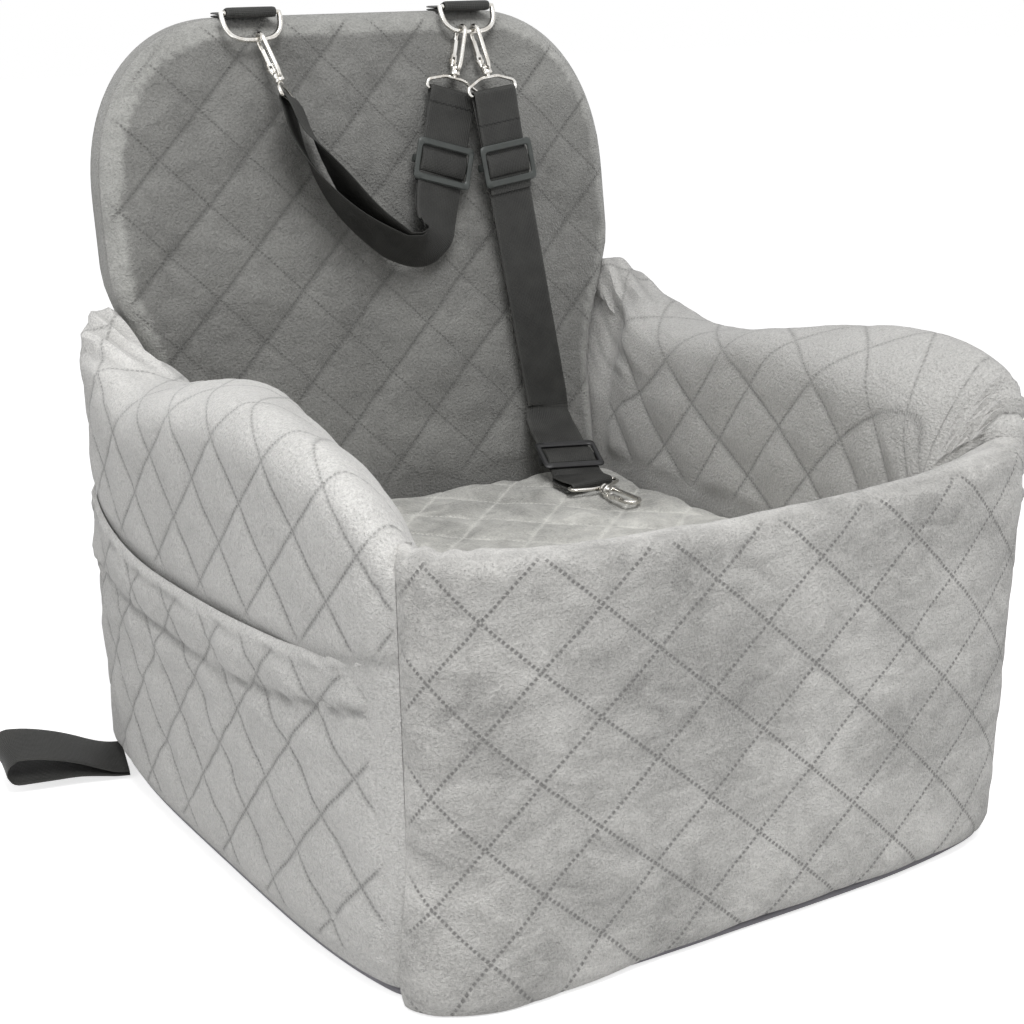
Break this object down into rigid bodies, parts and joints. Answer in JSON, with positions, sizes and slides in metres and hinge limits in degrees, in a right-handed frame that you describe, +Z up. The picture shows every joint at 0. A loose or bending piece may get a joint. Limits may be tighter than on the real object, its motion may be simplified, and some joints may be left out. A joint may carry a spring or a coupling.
{
  "type": "dog car seat",
  "caption": "Quilted booster seat for a small dog: padded walls, cushion, side pockets, a strap for the headrest and a clip-on safety lead hung from two rings.",
  "frame": {"origin": "on the underside, in the middle of the body's 460 by 480 mm plan", "axes": "+Z up, the front panel faces -Y and the dog looks that way, +X to the right seen from the front"},
  "size_m": [0.6029, 0.5606, 0.5573],
  "materials": {
    "velvet": "short grey velvet pile, quilted in diagonal squares",
    "velvet_dark": "the same velvet in a darker grey, quilted",
    "base_cloth": "plain woven non-slip cloth",
    "foam": "open-cell polyurethane foam",
    "board": "plain fibreboard",
    "webbing": "black polypropylene webbing, ribbed weave",
    "nickel": "nickel plate on cast zinc and steel wire",
    "slider_plastic": "moulded acetal, slightly worn"
  },
  "bodies": {
    "seat": {"backrest_cover": "velvet_dark", "backrest_foam": "foam", "base_board": "board", "base_cover": "base_cloth", "base_foam": "foam", "cushion_cover": "velvet", "cushion_foam": "foam", "front_cover": "velvet", "front_foam": "foam", "left_cover": "velvet", "left_foam": "foam", "left_pocket": "velvet", "left_ring_tab": "webbing", "right_cover": "velvet", "right_foam": "foam", "right_pocket": "velvet", "right_ring_tab": "webbing", "tether_loop": "webbing"},
    "left_ring": {"left_d_ring": "nickel"},
    "right_ring": {"right_d_ring": "nickel"},
    "headrest_strap": {"headrest_strap": "webbing", "headrest_left_hook_eye": "nickel", "headrest_right_hook_eye": "nickel"},
    "headrest_left_hook": {"headrest_left_hook_body": "nickel", "headrest_left_hook_pin": "nickel"},
    "headrest_left_gate": {"headrest_left_hook_gate": "nickel"},
    "headrest_right_hook": {"headrest_right_hook_body": "nickel", "headrest_right_hook_pin": "nickel"},
    "headrest_right_gate": {"headrest_right_hook_gate": "nickel"},
    "headrest_slider": {"headrest_slider": "slider_plastic"},
    "lead": {"lead_strap": "webbing", "lead_ring_hook_eye": "nickel", "lead_dog_hook_eye": "nickel"},
    "lead_ring_hook": {"lead_ring_hook_body": "nickel", "lead_ring_hook_pin": "nickel"},
    "lead_ring_gate": {"lead_ring_hook_gate": "nickel"},
    "lead_dog_hook": {"lead_dog_hook_body": "nickel", "lead_dog_hook_pin": "nickel"},
    "lead_dog_gate": {"lead_dog_hook_gate": "nickel"},
    "lead_upper_slider": {"lead_upper_slider": "slider_plastic"},
    "lead_lower_slider": {"lead_lower_slider": "slider_plastic"}
  },
  "joints": [
    {"name": "left_ring_swing", "type": "hinge", "parent": "seat", "child": "left_ring", "pos_m": [-0.092, 0.23965, 0.5533], "axis": [-1, 0, 0], "range_deg": [0, 60]},
    {"name": "right_ring_swing", "type": "hinge", "parent": "seat", "child": "right_ring", "pos_m": [0.092, 0.23965, 0.5533], "axis": [-1, 0, 0], "range_deg": [0, 60]},
    {"name": "headrest_strap_swing", "type": "hinge", "parent": "left_ring", "child": "headrest_strap", "pos_m": [-0.088, 0.2318, 0.53386], "axis": [-1, -0.0008, -0.0021], "range_deg": [0, 60]},
    {"name": "headrest_left_hook_swivel", "type": "hinge", "parent": "headrest_strap", "child": "headrest_left_hook", "pos_m": [-0.0803, 0.21639, 0.5034], "axis": [-0.2201, 0.4402, 0.8705], "range_deg": [-12, 12]},
    {"name": "headrest_left_gate_press", "type": "hinge", "parent": "headrest_left_hook", "child": "headrest_left_gate", "pos_m": [-0.08237, 0.22755, 0.51159], "axis": [0.9695, 0, 0.2452], "range_deg": [0, 20], "stiffness_Nm_per_rad": 0.02, "springref_deg": -11.46},
    {"name": "headrest_right_hook_swivel", "type": "hinge", "parent": "headrest_strap", "child": "headrest_right_hook", "pos_m": [0.07311, 0.22568, 0.50123], "axis": [0.2827, 0.179, 0.9423], "range_deg": [-12, 12]},
    {"name": "headrest_right_gate_press", "type": "hinge", "parent": "headrest_right_hook", "child": "headrest_right_gate", "pos_m": [0.07631, 0.23411, 0.51193], "axis": [0.9578, 0, -0.2873], "range_deg": [0, 20], "stiffness_Nm_per_rad": 0.02, "springref_deg": -11.46},
    {"name": "headrest_slider_move", "type": "slide", "parent": "headrest_strap", "child": "headrest_slider", "axis": [0.2827, 0.179, 0.9423], "range_m": [-0.005, 0.012]},
    {"name": "lead_swing", "type": "hinge", "parent": "headrest_strap", "child": "lead", "pos_m": [0.095, 0.23179, 0.53384], "axis": [-1, 0, 0], "range_deg": [0, 45]},
    {"name": "lead_ring_hook_swivel", "type": "hinge", "parent": "lead", "child": "lead_ring_hook", "pos_m": [0.09989, 0.22005, 0.50123], "axis": [-0.1397, 0.3354, 0.9317], "range_deg": [-12, 12]},
    {"name": "lead_ring_gate_press", "type": "hinge", "parent": "lead_ring_hook", "child": "lead_ring_gate", "pos_m": [0.09846, 0.23018, 0.51079], "axis": [0.9889, 0, 0.1483], "range_deg": [0, 20], "stiffness_Nm_per_rad": 0.02, "springref_deg": -11.46},
    {"name": "lead_dog_hook_swivel", "type": "hinge", "parent": "lead", "child": "lead_dog_hook", "pos_m": [0.11045, 0.07127, 0.19607], "axis": [0.1201, -0.9904, -0.0679], "range_deg": [-4, 4]},
    {"name": "lead_dog_gate_press", "type": "hinge", "parent": "lead_dog_hook", "child": "lead_dog_gate", "pos_m": [0.1057, 0.05813, 0.19517], "axis": [0, -0.0684, 0.9977], "range_deg": [0, 20], "stiffness_Nm_per_rad": 0.02, "springref_deg": -11.46},
    {"name": "lead_upper_slider_move", "type": "slide", "parent": "lead", "child": "lead_upper_slider", "axis": [-0.1232, 0.1182, 0.9853], "range_m": [-0.012, 0.012]},
    {"name": "lead_lower_slider_move", "type": "slide", "parent": "lead", "child": "lead_lower_slider", "axis": [0.2238, 0.8968, 0.3817], "range_m": [-0.003, 0.003]}
  ],
  "couplings": [
    {"joint": "right_ring_swing", "follows": "left_ring_swing", "ratio": 1}
  ]
}
